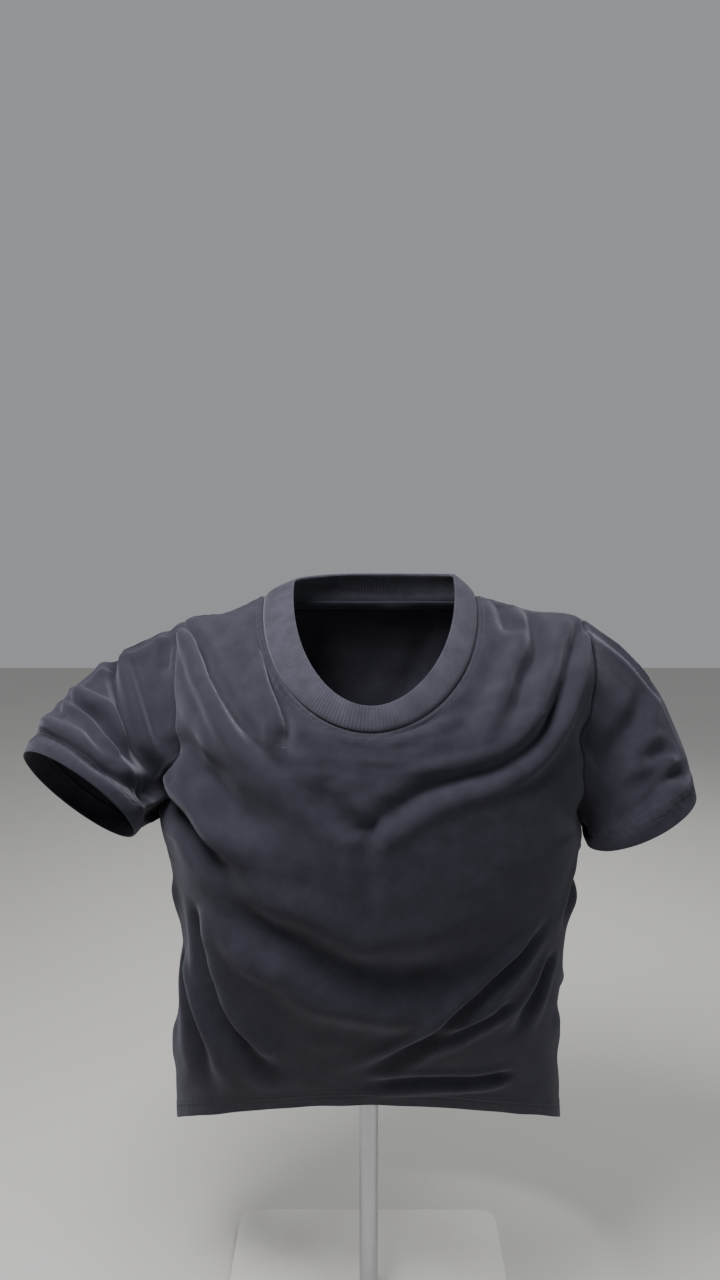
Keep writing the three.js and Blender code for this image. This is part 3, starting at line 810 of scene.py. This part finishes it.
# The outer surface of a sleeve before its folds, from the armhole at 0 to the hem at 1
def plainSleeve(sleeve, turn, along):
    turn, along = spread(turn, along)
    side = sleeve["side"]
    facing = unit(np.array(sleeve["facing"]))
    up = np.array([side * sleeves["topOut"], 0, sleeves["topUp"]])
    up = unit(up - up @ facing * facing)
    ahead = np.cross(facing, up)
    ahead *= -1 if ahead[1] > 0 else 1
    rise = np.sin(np.radians(turn))[..., None]
    forward = np.cos(np.radians(turn))[..., None]
    start = armholeStart(sleeve, turn)
    end = np.array(sleeve["centre"]) + sleeve["radius"] * (ahead * forward + up * rise)
    low = (1 - rise) / 2
    kept = 1 - sleeves["shorten"] * low
    outward = sleeveOut(side, turn) * (1 - low) ** sleeves["leaveTop"]
    leave = unit(outward + facing * low ** sleeves["leaveFoot"]) * sleeve["start"] * kept
    arrive = facing * sleeve["end"] * kept
    t = along[..., None]
    bulge = up * sleeve["cap"] * np.sin(np.pi * t) * np.maximum(0, rise) ** sleeves["capSharpness"]
    return smoothSpan(start, leave, end, arrive, t) + bulge


def makeSleeve(which):
    sleeve = sleeves[which]
    side = sleeve["side"]
    turn = -90 + 360 * np.arange(sleeves["columns"]) / sleeves["columns"]
    turn = turn[::side]

    def surface(around, along):
        return plainSleeve(sleeve, around, along)

    laid = layFolds(sleeve["folds"], surface)
    hem = alongAt(surface, turn, hemRows, 1, 0)
    armhole = alongAt(surface, turn, sleeves["armholeRows"], 0, 1)
    share = np.linspace(0, 1, sleeves["rows"])[1:-1, None]
    along = np.concatenate([hem, hem[-1] + (armhole[0] - hem[-1]) * share, armhole])
    around = np.repeat(turn[None], len(along), 0)
    grid = surface(around, along)
    normals = gridNormals(grid, True)
    atArmhole = ease(along / sleeves["headFade"])
    fade = atArmhole * ease((1 - along) / sleeves["hemFade"] + sleeves["hemKeep"])
    loose = sleeves["slack"]
    u, v = around * loose["across"], along * loose["along"]
    low = slack(u, v, loose["seed"] + side, *loose["waves"]) * loose["height"] * atArmhole
    push = unit(sum(np.roll(normals, step, axis=1) for step in sleeves["pushEvening"]))
    grid = grid + foldMove(laid, grid, push, sleeves["fadeIn"]) * fade[..., None] + normals * low[..., None]
    fromHem = lengths(grid, 0)
    fromArmhole = fromHem[-1:] - fromHem
    aside = lengths(np.concatenate([grid, grid[:, :1]], 1), 1)[:, :-1]
    normals = gridNormals(grid, True)
    onBody = bodyNormal(*armholePlace(side, around))
    blend = ease(fromArmhole / sleeves["seamBlend"])[..., None]
    pull = unit(onBody * (1 - blend) + normals * blend)
    grid = grid + pull * seamRelief(fromArmhole, aside)[..., None]
    grid[-1] += armholeOut(side, turn) * seam["gap"]
    grid = grid + normals * hemRelief(fromHem, aside)[..., None]
    normals = gridNormals(grid, True)
    closed = (np.concatenate([lines, lines[:, :1]], 1) for lines in (grid, normals))
    stitched = needleLines(*closed, hemRows, cloth["needles"])
    outward = bodyNormal(*armholePlace(side, turn))[None]
    sheet = turnIn(grid, outward, 0, True, seam["sleeveLean"])
    sheet, _ = turnUnder(sheet, gridNormals(sheet, True), cloth["hemDepth"])
    piece = makeGrid(which + "_sleeve_cloth", sheet, True)
    thicken(piece, cloth["thickness"])
    return piece, stitched


rightSleeve, rightStitched = makeSleeve("right")
leftSleeve, leftStitched = makeSleeve("left")
print("sleeves made")


# Neck rib: a folded band of one-by-one rib, sewn to the neck seam and to itself inside
neckBand = {
    "upperEdge": np.array([1, 670.5, 763, 769, 768, 72, 80, -100, 34, 64]),
    "bow": 1.6,
    "ribs": 226,
    "ribHeight": 0.32,
    "perRib": 4,
    "readings": 720,  # places round the upper edge at which its length is read
    "outerRows": 16,
    "ribFade": 6,  # how fast the ribs, and the lift off the seam, come up over the band
    "liftFade": 12.5,
    "roll": 1.15,
    "rollSteps": 5,
    "thickness": 0.8,
    "tail": (1.5, 4, 6.5),  # rows of the seam allowance, below the seam inside
    "tailIn": 4.2,
}


def makeNeckRib():
    count = neckBand["ribs"] * neckBand["perRib"]
    even = np.linspace(0, 360, neckBand["readings"] + 1)
    gone = lengths(ringPoint(neckBand["upperEdge"], even), 0)
    angle = np.interp(np.arange(count) / count * gone[-1], gone, even)
    neckSeam = bodyPlace(angle, 1.0, seam["depth"])
    upper = ringPoint(neckBand["upperEdge"], angle)
    rise = unit(upper - neckSeam)
    share = np.linspace(0, 1, neckBand["outerRows"])[:, None, None]
    band = (neckSeam + rise * seam["gap"]) * (1 - share) + upper * share
    normals = gridNormals(band, True)
    bow = neckBand["bow"] * np.sin(np.pi * share)
    ribs = np.cos(2 * np.pi * np.arange(count) / neckBand["perRib"])[None, :, None]
    fade = np.clip(share * neckBand["ribFade"], 0, 1)
    lift = seam["depth"] * (1 - hump(share * neckBand["liftFade"], 0, 1))
    outer = band + normals * (bow + lift + neckBand["ribHeight"] * ribs * fade)
    normals = gridNormals(outer, True)
    roll = neckBand["roll"]
    rows = [outer]
    for step in range(neckBand["rollSteps"]):
        turn = math.pi * (step + 1) / (neckBand["rollSteps"] + 1)
        over = outer[-1] + rise * roll * math.sin(turn) + normals[-1] * roll * (math.cos(turn) - 1)
        rows.append(over[None])
    rows.append(outer[::-1][::2] - normals[::-1][::2] * (2 * roll))
    below = alongAt(plainBody, angle, neckBand["tail"], 1, body["neckWithin"])
    rows.append(bodyPlace(angle, below, neckBand["tailIn"]))
    piece = makeGrid("neck_rib_band", np.concatenate(rows), True)
    thicken(piece, neckBand["thickness"])
    return piece


neckRib = makeNeckRib()
print("neck rib made")


# Neck tape: a strip of jersey that covers the neck seam inside the back
neckTape = {
    "from": 98, "to": 262, "up": (0.968, 0.9985), "inward": 5.6, "crown": 0.8, "columns": 120, "rows": 6,
}


def makeNeckTape():
    angle = np.linspace(neckTape["from"], neckTape["to"], neckTape["columns"])
    up = np.linspace(*neckTape["up"], neckTape["rows"])[:, None]
    grid = bodyPlace(angle[None], up, neckTape["inward"])
    crown = np.sin(np.pi * np.linspace(0, 1, neckTape["rows"]))[:, None, None]
    grid = grid - gridNormals(grid) * neckTape["crown"] * crown
    piece = makeGrid("neck_tape_strip", grid)
    thicken(piece, cloth["thickness"])
    return piece


tape = makeNeckTape()
print("neck tape made")


# Stitching
stitching = [
    makeStitches("front_hem_stitches", frontStitched["hem"]),
    makeStitches("back_hem_stitches", backStitched["hem"]),
    makeStitches("neck_seam_stitches", frontStitched["neck"] + backStitched["neck"]),
    makeStitches("right_sleeve_stitches", rightStitched),
    makeStitches("left_sleeve_stitches", leftStitched),
]
print("stitches made")


# Stand: sizes as in the frame, in millimetres
stand = {
    "base": {"size": (300, 250, 8), "corner": 18, "cornerSteps": 12, "edge": 1.2, "behind": 24},
    "post": {"radius": 9.5, "at": (0, 22), "foot": 8.3, "top": 596, "edge": 0.8},
    "socket": {
        "radius": 24, "rim": 4, "waist": 15, "cone": 6, "neck": 8, "bore": 9.8, "floor": 1, "edge": 0.5,
    },
    "hub": {"radius": 15, "height": 26, "slope": 4, "crown": 10, "edge": 0.8, "sharp": 20},
    "arm": {
        "radius": 6,
        "edge": 1.2,
        "sharp": 50,
        "inHub": 1,
        "seat": 4.4,  # how far a rod lies under the cloth's two layers
        "route": [(50, 0, 0), (88, 0, 10), (103, 3, 60)],  # out, back and up from the hub's middle
        "seats": [0.94, 0.9, 0.86, 0.82],
        "bend": 5,
        "tip": (4, -2, -20),
        "stepsPerSpan": 10,
    },
}


# Selects a piece's edges or faces in edit mode, by a test on each
def pick(piece, kind, test):
    only(piece)
    bpy.ops.object.mode_set(mode="EDIT")
    bpy.ops.mesh.select_mode(type=kind)
    bpy.ops.mesh.select_all(action="DESELECT")
    mesh = bmesh.from_edit_mesh(piece.data)
    for part in mesh.edges if kind == "EDGE" else mesh.faces:
        part.select_set(bool(test(part)))
    bmesh.update_edit_mesh(piece.data)


# Back to object mode, with the piece's place in its mesh and its sharp edges rounded
def settle(piece, name, bevel, sharp=35, smooth=40):
    if bpy.context.mode == "EDIT_MESH":
        bpy.ops.object.mode_set(mode="OBJECT")
    only(piece)
    bpy.ops.object.transform_apply()
    edges = piece.modifiers.new("Edges", "BEVEL")
    edges.width = bevel * mm
    edges.segments = 3
    edges.limit_method = "ANGLE"
    edges.angle_limit = math.radians(sharp)
    bpy.ops.object.modifier_apply(modifier=edges.name)
    bpy.ops.object.shade_smooth_by_angle(angle=math.radians(smooth))
    piece.name = name
    piece.data.name = name
    return piece


def addCylinder(radius, foot, height, sides=96):
    bpy.ops.object.select_all(action="DESELECT")
    x, y = stand["post"]["at"]
    bpy.ops.mesh.primitive_cylinder_add(
        vertices=sides,
        radius=radius * mm,
        depth=height * mm,
        location=(x * mm, y * mm, (foot + height / 2) * mm),
    )
    bpy.ops.object.transform_apply()
    return bpy.context.object


def pickTop(piece):
    top = max(v.co.z for v in piece.data.vertices)
    pick(piece, "FACE", lambda face: face.normal.z > 0.9 and face.calc_center_median().z > top - 1e-5)


def extrudeUp(height, scale=1):
    bpy.ops.mesh.extrude_region_move(TRANSFORM_OT_translate={"value": (0, 0, height * mm)})
    bpy.ops.transform.resize(value=(scale, scale, 1), center_override=(0, stand["post"]["at"][1] * mm, 0))


def makeBase():
    size = stand["base"]
    breadth, depth, height = (side * mm for side in size["size"])
    bpy.ops.object.select_all(action="DESELECT")
    place = (0, size["behind"] * mm, height / 2)
    bpy.ops.mesh.primitive_cube_add(size=1, location=place, scale=(breadth, depth, height))
    piece = bpy.context.object
    bpy.ops.object.transform_apply()
    pick(piece, "EDGE", lambda edge: abs(edge.verts[0].co.z - edge.verts[1].co.z) > 1e-4)
    bpy.ops.mesh.bevel(offset=size["corner"] * mm, segments=size["cornerSteps"])
    return settle(piece, "stand_base_plate", size["edge"])


def makeSocket():
    size = stand["socket"]
    piece = addCylinder(size["radius"], stand["post"]["foot"], size["rim"])
    pickTop(piece)
    extrudeUp(size["cone"], size["waist"] / size["radius"])
    extrudeUp(size["neck"])
    bpy.ops.mesh.inset(thickness=(size["waist"] - size["bore"]) * mm)
    extrudeUp(-(size["neck"] + size["cone"] + size["rim"] - size["floor"]))
    return settle(piece, "stand_base_socket", size["edge"])


def makePost():
    size = stand["post"]
    foot = size["foot"] + stand["socket"]["floor"]
    piece = addCylinder(size["radius"], foot, size["top"] - foot, 64)
    return settle(piece, "stand_post_rod", size["edge"])


def makeHub():
    size = stand["hub"]
    piece = addCylinder(size["radius"], stand["post"]["top"] + seam["gap"], size["height"] - size["slope"])
    pickTop(piece)
    extrudeUp(size["slope"], size["crown"] / size["radius"])
    return settle(piece, "stand_hub_block", size["edge"], size["sharp"])


def makeArm(which):
    size = stand["arm"]
    sleeve = sleeves[which]
    side = sleeve["side"]
    back = stand["post"]["at"][1]
    middle = stand["post"]["top"] + seam["gap"] + stand["hub"]["height"] / 2
    sink = 2 * cloth["thickness"] + size["radius"] + size["seat"]
    points = [(side * (stand["hub"]["radius"] - size["inHub"]), back, middle)]
    points += [(side * out, back + behind, middle + rise) for out, behind, rise in size["route"]]
    points += list(bodyPlace(90 * side, np.array(size["seats"]), sink))
    bend = plainSleeve(sleeve, 90, 0) + np.array([0, 0, -sink - size["bend"]])
    out, ahead, drop = size["tip"]
    points += [bend, bend + np.array([side * out, ahead, drop])]
    path = smoothLine(np.array(points), size["stepsPerSpan"])
    name = "stand_" + which + "_arm_rod"
    curve = bpy.data.curves.new(name, "CURVE")
    curve.dimensions = "3D"
    curve.bevel_depth = size["radius"] * mm
    curve.bevel_resolution = 8
    curve.use_fill_caps = True
    spline = curve.splines.new("POLY")
    spline.points.add(len(path) - 1)
    for point, place in zip(spline.points, path):
        point.co = (*(place * mm), 1)
    only(addPiece(name, curve))
    bpy.ops.object.convert(target="MESH")
    return settle(bpy.context.object, name, size["edge"], size["sharp"])


base, socket, post, hub = makeBase(), makeSocket(), makePost(), makeHub()
arms = {which: makeArm(which) for which in ("right", "left")}
print("stand made")


# Materials

# Single jersey of combed cotton, knitted and dyed black: matt, with a soft bloom of fibre ends at grazing
# angles, a little paler and darker in random patches, and a faint V of stitches. The stitches are drawn 1.6
# mm wide, about twice as coarse as real ones, so that they show close up.
jersey = {
    "dark": "#1f1f27", "pale": "#292932", "fibre": 1900, "mottle": 55,
    "wale": 1.6, "course": 1.2, "slant": 1.6, "ridge": 2.4,
}


# A dyed knit with its bloom of fibre ends, and the two directions of the cloth as it is cut
def newKnit(name, roughness, specular, sheen, sheenRoughness):
    surface = {
        "Roughness": roughness,
        "Specular IOR Level": specular,
        "Sheen Weight": sheen,
        "Sheen Roughness": sheenRoughness,
        "Sheen Tint": hexColour("#a8a8b4"),
    }
    material, tree, shader, place = newMaterial(name, surface)
    cut = addNode(tree, "ShaderNodeUVMap", {"uv_map": "cloth"}).outputs[0]
    split = addNode(tree, "ShaderNodeSeparateXYZ", links={0: cut})
    return material, tree, shader, place, split.outputs


def jerseyMaterial():
    name = "cotton_single_jersey_knitted_dyed"
    material, tree, shader, place, cut = newKnit(name, 0.9, 0.25, 0.35, 0.45)
    wales = addMath(tree, "MULTIPLY", cut[0], 1 / (jersey["wale"] * mm))
    courses = addMath(tree, "MULTIPLY", cut[1], 1 / (jersey["course"] * mm))
    leg = addMath(tree, "PINGPONG", wales, 0.5)
    slant = addMath(tree, "MULTIPLY_ADD", leg, jersey["slant"], courses)
    loops = addMath(tree, "SINE", addMath(tree, "MULTIPLY", slant, 2 * math.pi))
    ridge = addMath(tree, "MULTIPLY_ADD", leg, jersey["ridge"], loops)
    fibres = addNoise(tree, place, jersey["fibre"], 3)
    height = addMath(tree, "MULTIPLY_ADD", fibres, 1.4, ridge)
    addBump(tree, shader, height, strength=0.35, distance=0.22)
    mottle = addNoise(tree, place, jersey["mottle"], 6, 0.65)
    grain = addMath(tree, "MULTIPLY_ADD", fibres, 0.22, mottle)
    addTones(tree, shader, grain, jersey["dark"], jersey["pale"], (0.42, 0.78))
    return material


# One-by-one rib of cotton with a little elastane, knitted and dyed: denser and matter than the jersey
rib = {"dark": "#2e2e35", "pale": "#3c3c45", "course": 1.3, "fibre": 1700, "mottle": 60}


def ribMaterial():
    material, tree, shader, place, cut = newKnit("cotton_rib_knitted_dyed", 0.92, 0.22, 0.4, 0.5)
    turn = addMath(tree, "MULTIPLY", cut[1], 2 * math.pi / (rib["course"] * mm))
    fibres = addNoise(tree, place, rib["fibre"], 3)
    height = addMath(tree, "MULTIPLY_ADD", addMath(tree, "SINE", turn), 0.4, fibres)
    addBump(tree, shader, height, strength=0.35, distance=0.2)
    mottle = addNoise(tree, place, rib["mottle"], 5, 0.6)
    addTones(tree, shader, mottle, rib["dark"], rib["pale"], (0.3, 0.7))
    return material


# Spun polyester sewing thread, twisted and dyed: a dull silk gloss that makes the stitches read as dots
def threadMaterial():
    material, tree, shader, place = newMaterial("polyester_thread_spun_dyed", {"Roughness": 0.6})
    fibres = addNoise(tree, place, 2600, 2)
    addBump(tree, shader, fibres, strength=0.5, distance=0.1)
    addTones(tree, shader, fibres, "#24242a", "#3a3a42")
    return material


# Mild steel with a baked polyester powder coat: satin, with the shallow orange peel that the melt leaves
def coatMaterial():
    material, tree, shader, place = newMaterial("mild_steel_powder_coated")
    addBump(tree, shader, addNoise(tree, place, 420, 2), strength=0.18, distance=0.2)
    dust = addNoise(tree, place, 14, 6)
    addTones(tree, shader, dust, "#d2cfc8", "#dcdad4", (0.35, 0.65))
    addGloss(tree, shader, dust, 0.38, 0.5)
    return material


# Stainless steel rod, ground round and brushed: fine rings round the rod stretch its highlights
def steelMaterial():
    material, tree, shader, place = newMaterial("stainless_steel_rod_brushed", {"Metallic": 1})
    rings = addNode(tree, "ShaderNodeMapping", {}, {"Scale": (60, 60, 2600)}, {0: place})
    lines = addNoise(tree, rings.outputs[0], 1, 4)
    addBump(tree, shader, lines, strength=0.12, distance=0.1)
    addGloss(tree, shader, lines, 0.26, 0.42)
    addTones(tree, shader, lines, "#a9abae", "#c9cbcd")
    return material


jerseyKnit, ribKnit, sewingThread = jerseyMaterial(), ribMaterial(), threadMaterial()
coatedSteel, brushedSteel = coatMaterial(), steelMaterial()
print("materials made")

for piece in (frontPanel, backPanel, rightSleeve, leftSleeve):
    finishPiece(piece, jerseyKnit, "jersey", piece.name.removesuffix("_cloth"))
finishPiece(neckRib, ribKnit, "rib_knit", "neck_rib")
finishPiece(tape, jerseyKnit, "jersey")
for stitches in stitching:
    finishPiece(stitches, sewingThread, "sewing_thread")
for piece, node in ((base, "stand_base"), (socket, "stand_socket"), (hub, "stand_hub")):
    finishPiece(piece, coatedSteel, "coated_steel", node)
finishPiece(post, brushedSteel, "brushed_steel", "stand_post")
for which, rod in arms.items():
    finishPiece(rod, brushedSteel, "brushed_steel", "stand_" + which + "_arm")

print("pieces placed")


# Floor and studio light
studio = {
    "floor": 4.0,
    "floorDrop": 0.0005,  # below the base plate, so that the two don't lie in one plane
    "world": "#e4e6ea",
    "worldStrength": 0.40,
    "lights": [
        # where it is, what it points at, size, power and colour
        ((-0.32, -0.44, 1.5), (0, -0.05, 0.5), 0.42, 24, "#fcfbff"),
        ((1.4, -1.0, 1.0), (0, 0, 0.5), 0.9, 4, "#eef2ff"),
        ((0.5, 1.3, 1.6), (0, 0, 0.5), 0.9, 14, "#ffffff"),
    ],
}


def makeStudio():
    bpy.ops.object.select_all(action="DESELECT")
    bpy.ops.mesh.primitive_plane_add(size=2 * studio["floor"], location=(0, 0, -studio["floorDrop"]))
    floor = bpy.context.object
    floor.name = "studio_floor"
    material, tree, shader, place = newMaterial("painted_studio_floor_rolled", {"Roughness": 0.8})
    addTones(tree, shader, addNoise(tree, place, 3, 3), "#c6c4bf", "#cdcbc6")
    floor.data.materials.append(material)
    world = bpy.data.worlds.new("studio")
    bpy.context.scene.world = world
    world.use_nodes = True
    backdrop = world.node_tree.nodes["Background"]
    backdrop.inputs[0].default_value = hexColour(studio["world"])
    backdrop.inputs[1].default_value = studio["worldStrength"]
    for place, target, size, power, colour in studio["lights"]:
        bpy.ops.object.light_add(type="AREA", location=place)
        light = bpy.context.object
        x, y, z = np.array(target) - np.array(place)
        light.rotation_euler = (math.atan2(math.hypot(x, y), -z), 0, math.atan2(y, x) - math.pi / 2)
        light.data.size = size
        light.data.energy = power
        light.data.color = hexColour(colour)[:3]


makeStudio()
print("studio set")
